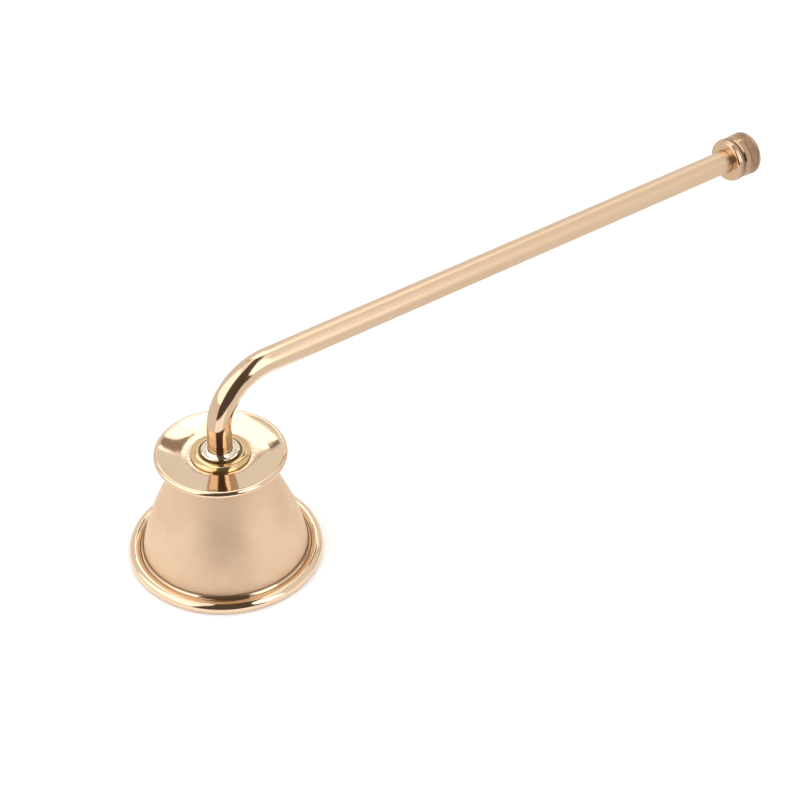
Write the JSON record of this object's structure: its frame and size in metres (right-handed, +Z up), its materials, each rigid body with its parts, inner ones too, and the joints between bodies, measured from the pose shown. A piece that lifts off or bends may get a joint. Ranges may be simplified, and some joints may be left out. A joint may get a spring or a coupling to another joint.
{
  "type": "candle snuffer",
  "caption": "Candle snuffer with a flared bell, dished beaded top, bent tube handle and a screw knob at its end.",
  "frame": {"origin": "centre of the circle that the bell's rim rests on", "axes": "+Z up the bell's axis, +X out along the straight handle towards the knob"},
  "size_m": [0.2, 0.05, 0.0607],
  "materials": {
    "satin_rose_brass": "satin brushed, rose tinted",
    "polished_rose_brass": "mirror polished, rose tinted",
    "tube_rose_brass": "polished with a soft drawn grain, rose tinted",
    "yellow_brass": "polished, plain yellow brass",
    "knob_brass": "knurled and slightly darkened",
    "fixing_steel": "plain bright fixings"
  },
  "bodies": {
    "handle_and_bell": {"rim_moulding": "polished_rose_brass", "bell_skirt": "satin_rose_brass", "top_dish": "polished_rose_brass", "check_collar": "yellow_brass", "foot_ferrule": "polished_rose_brass", "handle_tube": "tube_rose_brass", "foot_stud": "fixing_steel", "clamp_washer": "fixing_steel", "spring_washer": "fixing_steel", "clamp_nut": "fixing_steel", "end_bush": "yellow_brass"},
    "neck_ring": {"neck_ring": "polished_rose_brass"},
    "knob": {"end_knob": "knob_brass", "knob_stud": "fixing_steel"}
  },
  "joints": [
    {"name": "ring_slide", "type": "slide", "parent": "handle_and_bell", "child": "neck_ring", "axis": [1, 0, 0], "range_m": [0, 0.005]},
    {"name": "knob_turn", "type": "hinge", "parent": "neck_ring", "child": "knob", "pos_m": [0.1659, 0, 0.0547], "axis": [1, 0, 0], "range_deg": [0, 3600]}
  ],
  "couplings": [
    {"joint": "ring_slide", "follows": "knob_turn", "m_per_rad": 0.000079577}
  ]
}
